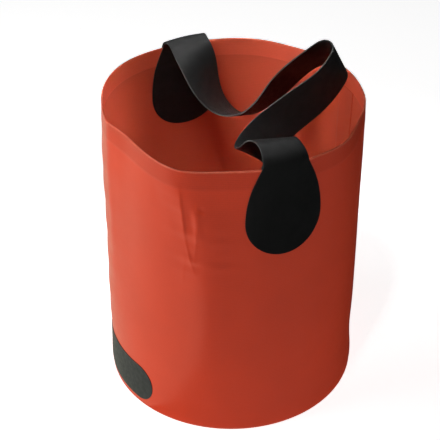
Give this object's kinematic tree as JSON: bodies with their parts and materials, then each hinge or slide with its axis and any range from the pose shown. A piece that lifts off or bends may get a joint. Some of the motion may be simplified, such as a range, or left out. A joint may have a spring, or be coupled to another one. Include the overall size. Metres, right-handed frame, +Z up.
{
  "type": "tool bucket organizer",
  "caption": "Tall round soft-sided tool bucket of red coated fabric with a wide black carrying strap across its open mouth.",
  "frame": {"origin": "centre of the underside of the base, where the bucket stands", "axes": "+Z up the bucket's axis to the mouth; -Y is the front; the strap's anchors are 22 degrees round from -Y towards +X and opposite that"},
  "size_m": [0.3005, 0.3004, 0.4117],
  "materials": {
    "red_coated_fabric": "semi-matte coated",
    "black_strap_fabric": "matte coated",
    "board_plastic": "matte",
    "patch_film": "matte"
  },
  "bodies": {
    "bucket": {"side_wall": "red_coated_fabric", "rim_hem": "red_coated_fabric", "wall_seam_tape": "red_coated_fabric", "base_panel": "red_coated_fabric", "base_weld_band": "red_coated_fabric", "base_cover": "red_coated_fabric", "base_board": "board_plastic", "side_patch": "patch_film", "front_outer_pad": "black_strap_fabric", "front_inner_pad": "black_strap_fabric", "rear_outer_pad": "black_strap_fabric", "rear_inner_pad": "black_strap_fabric"},
    "handle": {"strap_top_ply": "black_strap_fabric", "strap_under_ply": "black_strap_fabric"}
  },
  "joints": [
    {"name": "handle_swing", "type": "hinge", "parent": "bucket", "child": "handle", "pos_m": [0, 0, 0.37], "axis": [0.3746, -0.9272, 0], "range_deg": [0, 75]}
  ]
}
